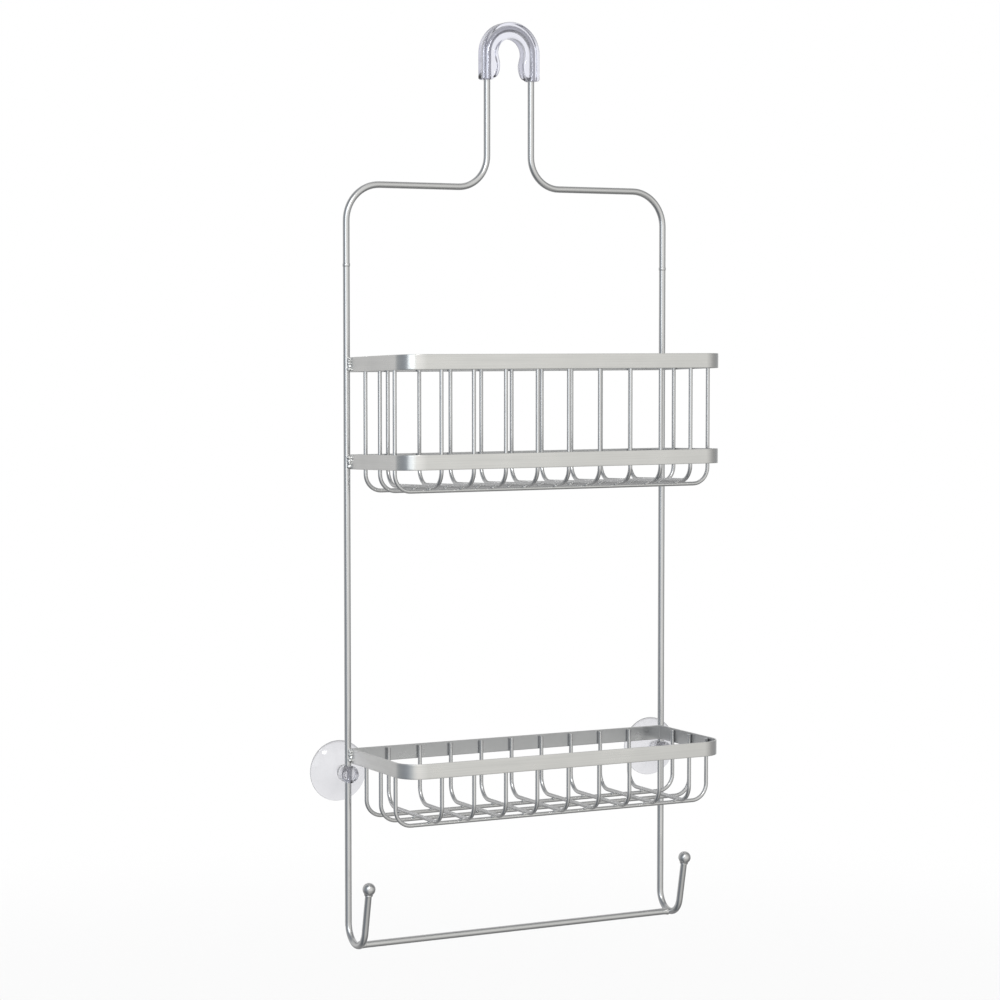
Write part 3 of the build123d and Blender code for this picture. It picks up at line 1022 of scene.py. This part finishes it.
class CADDY_OT_leg_nuggets(bpy.types.Operator):
    """Stack uneven weld lumps down the notch between each leg and each band"""

    bl_idname = "caddy.leg_nuggets"
    bl_label = "Leg Weld Nuggets"

    def execute(self, context):
        sizes = context.scene.caddy_basket
        wire_r = context.scene.caddy_frame.wire_radius
        leg_x = high("right_leg_wire")[0] - wire_r
        groups = (
            ("upper_basket_leg_welds", BANDS[:2]),
            ("lower_basket_leg_welds", BANDS[2:]),
        )
        for node, bands in groups:
            lumps = []
            for number, band in enumerate(bands):
                top, _ = band_rise(sizes, band)
                corner = high(band)[:2] - sizes.back_corner
                for _, sign in SIDES:
                    seed = 7 + 31 * number + int(sign)
                    lumps += self.stack(sizes, sign, leg_x, wire_r, corner, top, seed)
            made = piece(f"{node}_bright", lumps, weld_metal(context.scene.caddy_finish))
            place(made, "frame", "weld_metal", node)
        return {"FINISHED"}

    def stack(self, sizes, sign, leg_x, wire_r, corner, top, seed):
        """Four lumps of random size down the line where leg and band touch, moved out of the
        touching point towards the front and outside of the notch."""
        random = np.random.default_rng(seed)
        leg = np.array([sign * leg_x, 0.0])
        corner = np.array([sign * corner[0], corner[1]])
        across = (corner - leg) / np.linalg.norm(corner - leg)
        touch = leg + wire_r * across
        out = np.array([sign * abs(across[1]), -abs(across[0])])
        lumps = []
        for drop in np.linspace(0.2, 0.8, 4):
            size = random.uniform(1.25, 1.75) * MM
            shift = random.uniform(1.2, 1.9) * MM
            flat = touch + out * shift + across * random.uniform(-0.3, 0.3) * MM
            z = top - drop * sizes.band_height + random.uniform(-0.3, 0.3) * MM
            radii = (size, size, size * random.uniform(0.9, 1.25))
            lump_seed = int(random.integers(1, 9999))
            lumps.append(lump((flat[0], flat[1], z), radii, 20, 12, lump_seed, 0.16))
        return lumps


# ---------------------------------------------------------------- clear pieces
class CADDY_OT_grip(bpy.types.Operator):
    """Mould the clear grip over the top of the hanger"""

    bl_idname = "caddy.grip"
    bl_label = "Clear Grip"

    def execute(self, context):
        sizes = context.scene.caddy_clear
        node_low, node_high = low("hook_grip"), high("hook_grip")
        outer_r = node_high[0]
        tail = -node_low[2]
        half_depth = (node_high[1] - node_low[1]) / 2
        edge = sizes.grip_edge
        inner, outer = self.outlines(sizes, outer_r, tail)
        rows = len(inner)
        # both ends draw in along a quarter circle, so the tails are rounded
        shrink = np.zeros(rows)
        theta = np.linspace(QUARTER, 0.0, 7)
        shrink[:7] = edge * (1 - np.cos(theta))
        shrink[-7:] = shrink[:7][::-1]
        reach = outer - inner
        wide = np.linalg.norm(reach, axis=1) / 2 - shrink
        unit = reach / np.linalg.norm(reach, axis=1)[:, None]
        middle = (inner + outer) / 2
        deep = half_depth - shrink
        turn = np.linspace(0.0, QUARTER, 7)
        corner = np.minimum(edge, np.minimum(wide, deep) * 0.98)
        # a quarter of the rounded section, then its three mirror images
        a = np.concatenate(
            [
                wide[:, None] * np.ones((1, 2)),
                wide[:, None] - corner[:, None] * (1 - np.cos(turn)),
                (wide * 0.45)[:, None],
                np.zeros((rows, 1)),
            ],
            axis=1,
        )
        b = np.concatenate(
            [
                np.stack([np.zeros(rows), (deep - corner) * 0.85], axis=1),
                deep[:, None] - corner[:, None] * (1 - np.sin(turn)),
                deep[:, None] * np.ones((1, 2)),
            ],
            axis=1,
        )
        a, b = whole_section(a, b)
        points = np.empty((rows, a.shape[1], 3))
        points[..., 0] = middle[:, :1] + a * unit[:, :1]
        points[..., 2] = middle[:, 1:] + a * unit[:, 1:]
        points[..., 1] = b + (node_high[1] + node_low[1]) / 2
        travel = np.broadcast_to(np.arange(rows)[:, None] * MM, a.shape)
        strand = np.stack([travel, a, b], axis=-1)
        finish = context.scene.caddy_finish
        vinyl = clear_plastic("Clear vinyl", finish.vinyl, finish.vinyl_haze, 0.015, 0.05, 1.46, 60.0)
        made = piece("hook_grip_clear", [skin(points, strand)], vinyl)
        place(made, "frame", "clear_vinyl", "hook_grip")
        return {"FINISHED"}

    def outlines(self, sizes, outer_r, tail):
        """Inner and outer outlines in (x, z), row for row. Over the arm both are half circles. Below
        it the outer one is straight, and the inner one eases in to the lip along a smooth step and
        then falls back to the tail along a quarter of an ellipse, blurred where the two meet."""
        edge = sizes.grip_edge
        spare = 1.2 * MM  # the ellipse aims this far past the tail's inner corner
        theta = np.linspace(QUARTER, 0.0, 7)
        z_end = -tail + edge * (1 - np.sin(theta))
        z_wall = np.concatenate([z_end, np.linspace(-tail + edge, 0.0, 44)[1:-1]])
        fine = np.linspace(-tail - 4 * MM, 6 * MM, 1200)
        lip_x = sizes.throat / 2
        below = np.clip((-sizes.lip_drop - fine) / (tail - sizes.lip_drop - spare), 0.0, 1.0)
        above = np.clip((fine + sizes.lip_drop) / sizes.lip_drop, 0.0, 1.0)
        under = lip_x + (sizes.sleeve_inside + spare - lip_x) * (1 - np.sqrt(1 - below**2))
        over = lip_x + (sizes.arm_radius - lip_x) * above**2 * (3 - 2 * above)
        x_fine = np.where(fine < -sizes.lip_drop, under, over)
        kernel = np.exp(-0.5 * (np.linspace(-2.5, 2.5, 61)) ** 2)
        padded = np.pad(x_fine, 30, mode="edge")
        smooth = np.convolve(padded, kernel / kernel.sum(), mode="valid")
        x_wall = np.interp(z_wall, fine, smooth)
        bearing = np.linspace(math.pi, 0.0, 61)
        arch = np.stack([np.cos(bearing), np.sin(bearing)], axis=1)
        left_in = np.stack([-x_wall, z_wall], axis=1)
        left_out = np.stack([np.full(len(z_wall), -outer_r), z_wall], axis=1)
        mirror = np.array([-1.0, 1.0])
        inner = np.concatenate([left_in, arch * sizes.arm_radius, left_in[::-1] * mirror])
        outer = np.concatenate([left_out, arch * outer_r, left_out[::-1] * mirror])
        return inner, outer


class CADDY_OT_cups(bpy.types.Operator):
    """Turn the two clear suction cups and bore their heads for the legs"""

    bl_idname = "caddy.cups"
    bl_label = "Suction Cups"

    def execute(self, context):
        sizes = context.scene.caddy_clear
        finish = context.scene.caddy_finish
        clear = clear_plastic("Clear cup", finish.cup, finish.cup_haze, 0.05, 0.13, 1.46, 45.0)
        bore_reach = np.array([-9.0, 9.0]) * MM
        bore_r = np.full(2, context.scene.caddy_frame.wire_radius + sizes.cup_clearance)
        for side, _ in SIDES:
            node = f"{side}_suction_cup"
            node_low, node_high = low(node), high(node)
            middle = (node_low + node_high) / 2
            centre = np.array([middle[0], 0.0, middle[2]])
            cup_r = (node_high[0] - node_low[0]) / 2
            reach, radius = self.profile(sizes, node_low[1], node_high[1], cup_r)
            body = turned(centre, Y, reach, radius, 96)
            made = piece(f"{side}_cup_clear", [body], clear)
            bore = turned(centre, Z, bore_reach, bore_r, 48)
            cutter = piece(f"{side}_cup_bore", [bore], clear)
            cut = made.modifiers.new("Bore", "BOOLEAN")
            cut.operation = "DIFFERENCE"
            cut.solver = "EXACT"
            cut.object = cutter
            context.view_layer.update()
            graph = context.evaluated_depsgraph_get()
            bored = bpy.data.meshes.new_from_object(made.evaluated_get(graph))
            made.modifiers.clear()
            made.data = bored
            bored.set_sharp_from_angle(angle=math.radians(50.0))
            bpy.data.objects.remove(cutter)
            if len(bored.polygons) < 1000:
                raise RuntimeError(f"{side} cup was lost when its head was bored")
            place(made, f"{side}_cup", "clear_cup", node)
        return {"FINISHED"}

    def profile(self, sizes, front, rim, cup_r):
        """Distances along the axis and radii, from the middle of the head's front round the head, the
        neck, the dome and the rim to the middle of the hollow."""
        head, neck = sizes.cup_head, sizes.cup_neck
        head_back = front + sizes.cup_head_length
        round_r = 1.8 * MM
        lip_r = 0.6 * MM
        flare = 0.9 * MM
        turn = np.linspace(0.0, QUARTER, 8)
        reach = [np.array([front, front]), front + round_r * (1 - np.cos(turn))]
        radius = [np.array([0.3, 0.85]) * (head - round_r), head - round_r * (1 - np.sin(turn))]
        reach.append(head_back - round_r * (1 - np.cos(turn[::-1])))
        radius.append(head - round_r * (1 - np.sin(turn[::-1])))
        blend = 1.2 * MM
        dome_y = rim - sizes.cup_hollow - sizes.cup_wall
        t = np.linspace(0.0, 1.0, 6)
        reach.append(np.array([head_back, head_back + 0.4 * MM, head_back + 1.0 * MM]))
        radius.append(np.array([neck + 0.35 * MM, neck + 0.06 * MM, neck]))
        reach.append(dome_y - blend * (1 - t))
        radius.append(neck + flare * (1 - np.sqrt(np.maximum(0.0, 1 - t**2))))
        u = np.linspace(0.06, 1.0, 30)
        start_r = neck + flare
        dome = start_r + (cup_r - 0.5 * MM - start_r) * u
        rise = (rim - sizes.cup_wall - dome_y) * (0.28 * u + 0.72 * u**2.4)
        reach.append(dome_y + rise)
        radius.append(dome)
        lip = np.linspace(0.0, math.pi, 9)[1:-1]
        reach.append(rim - sizes.cup_wall / 2 - sizes.cup_wall / 2 * np.cos(lip))
        radius.append(cup_r - lip_r + lip_r * np.sin(lip))
        w = np.linspace(0.0, 1.0, 22)
        hollow_r = (cup_r - 1.4 * MM) * (1 - w * 0.97)
        depth = sizes.cup_hollow * np.sin(w * QUARTER) ** 0.9
        reach.append(rim - depth)
        radius.append(hollow_r)
        return np.concatenate(reach), np.concatenate(radius)


# ---------------------------------------------------------------- stage
class CADDY_OT_studio(bpy.types.Operator):
    """Lay the pale floor, set the soft studio light and place the camera"""

    bl_idname = "caddy.studio"
    bl_label = "Studio Stage"

    def execute(self, context):
        studio = context.scene.caddy_studio
        self.floor(studio)
        self.light(studio)
        self.world(context)
        self.camera(context, studio)
        context.scene.view_settings.view_transform = "Standard"
        return {"FINISHED"}

    def floor(self, studio):
        """A disc of rings round a middle point. It fades out before its edge, so that it shows no
        horizon."""
        rows, columns = 7, 96
        level = np.full((rows, columns), CAD_LOW[2] - studio.floor_gap)
        v = np.linspace(0.0, 2 * math.pi, columns, endpoint=False)
        rings = np.linspace(0.15, 1.0, rows)[:, None] * studio.floor_radius
        points = np.stack([rings * np.cos(v), rings * np.sin(v), level], axis=-1)
        vertices, quads, triangles, _ = skin(points, points)
        faces = quads.tolist() + triangles[:columns].tolist()
        mesh = bpy.data.meshes.new("pale_floor")
        mesh.from_pydata(vertices[:-1].tolist(), [], faces)
        made = bpy.data.objects.new("pale_floor", mesh)
        bpy.context.scene.collection.objects.link(made)
        material, tree, shader = new_material("Pale floor")
        link = tree.links.new
        where = add_node(tree, "ShaderNodeTexCoord")
        flat = add_node(tree, "ShaderNodeVectorMath", operation="MULTIPLY")
        flat.inputs[1].default_value = (1.0, 1.0, 0.0)
        distance = add_node(tree, "ShaderNodeVectorMath", operation="LENGTH")
        fade = add_node(tree, "ShaderNodeMapRange", interpolation_type="SMOOTHSTEP")
        fade.inputs["From Min"].default_value = studio.floor_radius * 0.08
        fade.inputs["From Max"].default_value = studio.floor_radius * 0.8
        fade.inputs["To Min"].default_value = studio.floor_share
        fade.inputs["To Max"].default_value = 0.0
        link(where.outputs["Object"], flat.inputs[0])
        link(flat.outputs[0], distance.inputs[0])
        link(distance.outputs["Value"], fade.inputs["Value"])
        link(fade.outputs["Result"], shader.inputs["Alpha"])
        shader.inputs["Base Color"].default_value = (*studio.floor_colour, 1.0)
        shader.inputs["Roughness"].default_value = 0.9
        shader.inputs["Specular IOR Level"].default_value = 0.0
        made.data.materials.append(material)
        made.visible_glossy = False

    def light(self, studio):
        """A tall soft panel at the left, level with the hanger, and a small one above the front."""
        cool, white = (0.9, 0.955, 1.0), (1.0, 1.0, 1.0)
        self.panel("left_softbox", (-0.98, -0.8, 0.06), 0.06, (0.62, 0.9), studio.key_energy, cool)
        self.panel("top_softbox", (-0.5, -1.2, 0.45), -0.35, (0.3, 0.22), studio.top_energy, white)

    def panel(self, name, where, aim_height, size, energy, shade):
        """A soft rectangular light that faces the middle of the caddy at aim_height. It shows in
        reflections, and leaves the floor as it is."""
        lamp = bpy.data.lights.new(name, "AREA")
        lamp.shape = "RECTANGLE"
        lamp.size, lamp.size_y = size
        lamp.color = shade
        lamp.diffuse_factor = 0.0
        lamp.energy = energy
        made = bpy.data.objects.new(name, lamp)
        made.location = where
        aim = np.array([0.0, 0.0, aim_height]) - np.array(where)
        made.rotation_euler = (
            math.acos(-aim[2] / np.linalg.norm(aim)),
            0.0,
            math.atan2(-aim[0], aim[1]),
        )
        bpy.context.scene.collection.objects.link(made)

    def world(self, context):
        """White behind the object. Clear pieces pass the white backdrop and dim sides, and
        reflections show soft panels: brightest in front, dim at the sides, dimmer below."""
        world = bpy.data.worlds.new("Studio panels")
        context.scene.world = world
        world.use_nodes = True
        tree = world.node_tree
        link = tree.links.new
        background = tree.nodes["Background"]
        where = add_node(tree, "ShaderNodeTexCoord")
        parts = add_node(tree, "ShaderNodeSeparateXYZ")
        link(where.outputs["Generated"], parts.inputs[0])
        to_left = add_node(tree, "ShaderNodeMath", operation="MULTIPLY")
        to_left.inputs[1].default_value = -1.0
        to_front = add_node(tree, "ShaderNodeMath", operation="MULTIPLY")
        to_front.inputs[1].default_value = -1.0
        bearing = add_node(tree, "ShaderNodeMath", operation="ARCTAN2")
        link(parts.outputs["X"], to_left.inputs[0])
        link(parts.outputs["Y"], to_front.inputs[0])
        link(to_left.outputs[0], bearing.inputs[0])
        link(to_front.outputs[0], bearing.inputs[1])
        turn = add_node(tree, "ShaderNodeMapRange")
        turn.inputs["From Min"].default_value = -math.pi
        turn.inputs["From Max"].default_value = math.pi
        link(bearing.outputs[0], turn.inputs["Value"])
        panels = self.ramp(tree, [((deg + 180.0) / 360.0, shade) for deg, shade in PANELS])
        link(turn.outputs["Result"], panels.inputs["Fac"])
        height = add_node(tree, "ShaderNodeMapRange")
        height.inputs["From Min"].default_value = -1.0
        link(parts.outputs["Z"], height.inputs["Value"])
        fall = self.ramp(tree, PANEL_HEIGHTS)
        link(height.outputs["Result"], fall.inputs["Fac"])
        dimmed = self.product(tree, panels.outputs["Color"], fall.outputs["Color"])
        backdrop = self.ramp(tree, BACKDROP)
        link(turn.outputs["Result"], backdrop.inputs["Fac"])
        through = self.product(tree, backdrop.outputs["Color"], fall.outputs["Color"])
        ray = add_node(tree, "ShaderNodeLightPath")
        reflected = add_node(tree, "ShaderNodeMix", data_type="RGBA")
        link(ray.outputs["Is Transmission Ray"], reflected.inputs[0])
        link(dimmed, reflected.inputs[6])
        link(through, reflected.inputs[7])
        plain = add_node(tree, "ShaderNodeMath", operation="MAXIMUM")
        link(ray.outputs["Is Camera Ray"], plain.inputs[0])
        link(ray.outputs["Is Diffuse Ray"], plain.inputs[1])
        chosen = add_node(tree, "ShaderNodeMix", data_type="RGBA")
        chosen.inputs[7].default_value = (1.0, 1.0, 1.0, 1.0)
        link(plain.outputs[0], chosen.inputs[0])
        link(reflected.outputs[2], chosen.inputs[6])
        link(chosen.outputs[2], background.inputs["Color"])
        background.inputs["Strength"].default_value = 1.0

    def product(self, tree, first, second):
        """Two colours multiplied."""
        mix = add_node(tree, "ShaderNodeMix", data_type="RGBA", blend_type="MULTIPLY")
        mix.inputs[0].default_value = 1.0
        tree.links.new(first, mix.inputs[6])
        tree.links.new(second, mix.inputs[7])
        return mix.outputs[2]

    def ramp(self, tree, stops):
        """A colour ramp with those (position, colour) stops."""
        made = add_node(tree, "ShaderNodeValToRGB")
        made.color_ramp.interpolation = "EASE"
        elements = made.color_ramp.elements
        elements[0].position, elements[-1].position = stops[0][0], stops[-1][0]
        elements[0].color = (*stops[0][1], 1.0)
        elements[-1].color = (*stops[-1][1], 1.0)
        for position, shade in stops[1:-1]:
            elements.new(position).color = (*shade, 1.0)
        return made

    def camera(self, context, studio):
        """A camera at the given bearing and height, aimed at the aim point, with no shift."""
        turn, lift = studio.camera_azimuth, studio.camera_elevation
        level = math.cos(lift)
        back = np.array([math.sin(turn) * level, -math.cos(turn) * level, math.sin(lift)])
        data = bpy.data.cameras.new("front_left_camera")
        data.lens = studio.camera_lens
        data.sensor_width = 36.0
        data.clip_start, data.clip_end = 0.05, 50.0
        made = bpy.data.objects.new("front_left_camera", data)
        made.location = np.array(studio.aim) + studio.camera_distance * back
        made.rotation_euler = (QUARTER - lift, 0.0, turn)
        context.scene.collection.objects.link(made)
        context.scene.camera = made


# ---------------------------------------------------------------- panel and registration
class CADDY_PT_panel(bpy.types.Panel):
    """Lists the caddy's pieces, sizes and finishes"""

    bl_idname = "CADDY_PT_panel"
    bl_label = "Shower Caddy"
    bl_space_type = "VIEW_3D"
    bl_region_type = "UI"
    bl_category = "Caddy"

    def draw(self, context):
        scene = context.scene
        for operator in OPERATORS:
            self.layout.operator(operator.bl_idname)
        for attribute, group in GROUPS:
            box = self.layout.box()
            box.label(text=group.__doc__)
            for name in group.__annotations__:
                box.prop(getattr(scene, attribute), name)


GROUPS = (
    ("caddy_frame", CaddyFrameSizes),
    ("caddy_basket", CaddyBasketSizes),
    ("caddy_clear", CaddyClearSizes),
    ("caddy_finish", CaddyFinish),
    ("caddy_studio", CaddyStudio),
)
OPERATORS = (
    CADDY_OT_hanger,
    CADDY_OT_legs,
    CADDY_OT_balls,
    CADDY_OT_towel_bar,
    CADDY_OT_frame_welds,
    CADDY_OT_bands,
    CADDY_OT_cross_wires,
    CADDY_OT_long_wires,
    CADDY_OT_grid_welds,
    CADDY_OT_leg_nuggets,
    CADDY_OT_grip,
    CADDY_OT_cups,
    CADDY_OT_studio,
)


def register():
    """Register the property groups on the scene, the operators and the panel."""
    for attribute, group in GROUPS:
        bpy.utils.register_class(group)
        setattr(bpy.types.Scene, attribute, PointerProperty(type=group))
    for operator in OPERATORS:
        bpy.utils.register_class(operator)
    bpy.utils.register_class(CADDY_PT_panel)


def unregister():
    """Take off what register put on, in the opposite order."""
    bpy.utils.unregister_class(CADDY_PT_panel)
    for operator in reversed(OPERATORS):
        bpy.utils.unregister_class(operator)
    for attribute, group in reversed(GROUPS):
        delattr(bpy.types.Scene, attribute)
        bpy.utils.unregister_class(group)


def main():
    """Register everything and build each piece in order."""
    register()
    for operator in OPERATORS:
        group, name = operator.bl_idname.split(".")
        getattr(getattr(bpy.ops, group), name)()


if __name__ == "__main__":
    main()
